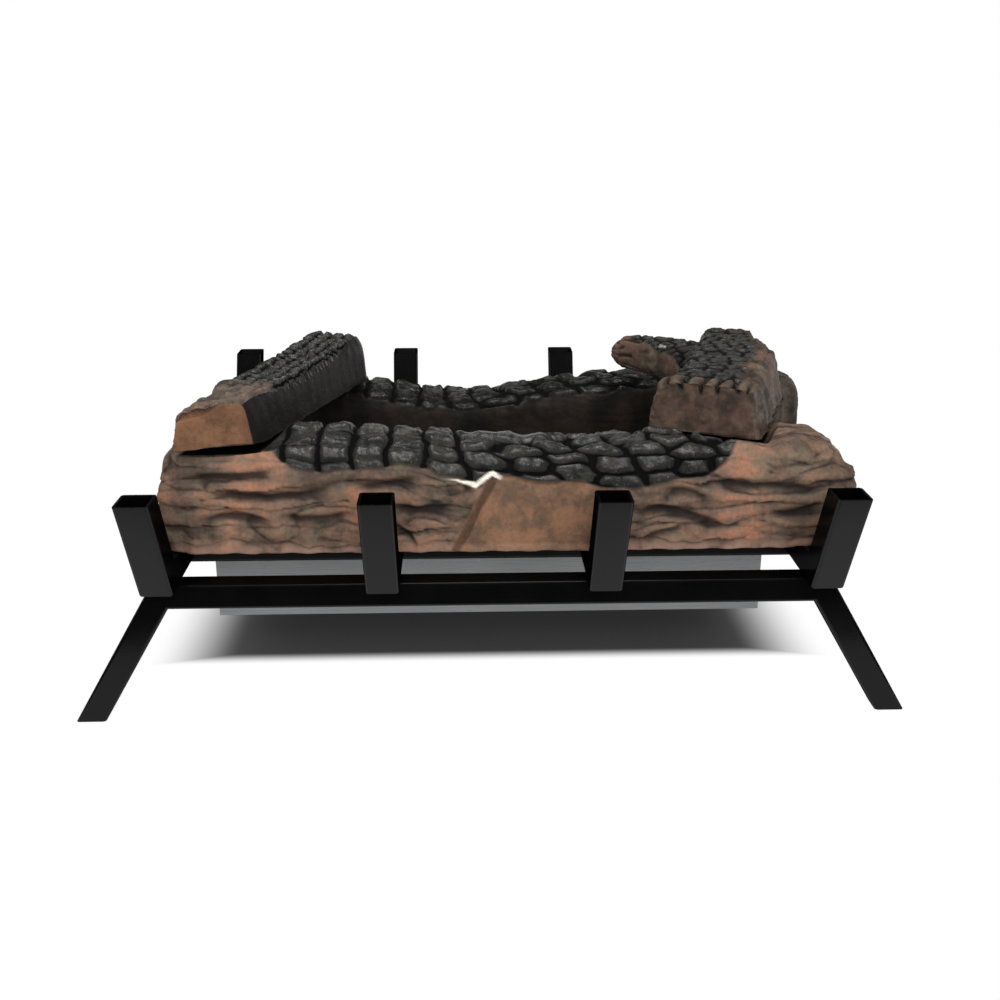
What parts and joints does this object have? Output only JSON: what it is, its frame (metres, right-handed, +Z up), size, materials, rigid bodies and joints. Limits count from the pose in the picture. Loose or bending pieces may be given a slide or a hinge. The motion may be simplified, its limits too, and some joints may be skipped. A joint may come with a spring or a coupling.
{
  "type": "bioethanol fire grate",
  "caption": "Free-standing fireplace grate of black square tube with leaning posts, a drop-in spirit burner with a shuttered flame slot, and moulded ceramic logs lying across it.",
  "frame": {"origin": "on the floor, in the middle of the footprint", "axes": "+X to the right along the grate as seen from the front, +Y from front to back, +Z up"},
  "size_m": [0.656, 0.5166, 0.2588],
  "materials": {
    "black_powder_coat": "satin",
    "brushed_steel": "satin",
    "knob_steel": "satin",
    "ceramic_wool": "matte",
    "bark_ceramic": "matte",
    "charred_ceramic": "satin"
  },
  "bodies": {
    "frame": {"front_rail": "black_powder_coat", "rear_rail": "black_powder_coat", "front_burner_rail": "black_powder_coat", "rear_burner_rail": "black_powder_coat", "front_left_leg": "black_powder_coat", "front_right_leg": "black_powder_coat", "rear_left_leg": "black_powder_coat", "rear_right_leg": "black_powder_coat", "foot_plates": "black_powder_coat", "left_cross_bar": "black_powder_coat", "right_cross_bar": "black_powder_coat", "front_stub_left": "black_powder_coat", "front_stub_right": "black_powder_coat", "rear_stub_left": "black_powder_coat", "rear_stub_right": "black_powder_coat", "front_post_1": "black_powder_coat", "front_post_2": "black_powder_coat", "front_post_3": "black_powder_coat", "front_post_4": "black_powder_coat", "rear_post_1": "black_powder_coat", "rear_post_2": "black_powder_coat", "rear_post_3": "black_powder_coat", "rear_post_4": "black_powder_coat"},
    "burner": {"burner_body": "brushed_steel", "burner_top_plate": "brushed_steel", "fuel_tank": "brushed_steel", "ceramic_wool": "ceramic_wool", "wool_screen": "brushed_steel", "front_guide": "brushed_steel", "rear_guide": "brushed_steel", "guide_rivets": "brushed_steel"},
    "left_shutter": {"left_shutter": "brushed_steel", "left_knob": "knob_steel"},
    "right_shutter": {"right_shutter": "brushed_steel", "right_knob": "knob_steel"},
    "rear_log": {"rear_log": "charred_ceramic"},
    "front_log": {"front_log": "bark_ceramic"},
    "left_log": {"left_log": "charred_ceramic"},
    "branch_log": {"branch_log": "bark_ceramic"}
  },
  "joints": [
    {"name": "burner_lift", "type": "slide", "parent": "frame", "child": "burner", "axis": [0, 0, 1], "range_m": [0, 0.17]},
    {"name": "left_shutter_slide", "type": "slide", "parent": "burner", "child": "left_shutter", "axis": [1, 0, 0], "range_m": [0, 0.11]},
    {"name": "right_shutter_slide", "type": "slide", "parent": "burner", "child": "right_shutter", "axis": [-1, 0, 0], "range_m": [0, 0.11]},
    {"name": "rear_log_lift", "type": "slide", "parent": "burner", "child": "rear_log", "axis": [0, 0, 1], "range_m": [0, 0.08]},
    {"name": "front_log_lift", "type": "slide", "parent": "rear_log", "child": "front_log", "axis": [0, 0, 1], "range_m": [0, 0.08]},
    {"name": "left_log_lift", "type": "slide", "parent": "front_log", "child": "left_log", "axis": [0, 0, 1], "range_m": [0, 0.1]},
    {"name": "branch_log_lift", "type": "slide", "parent": "front_log", "child": "branch_log", "axis": [0, 0, 1], "range_m": [0, 0.1]}
  ]
}
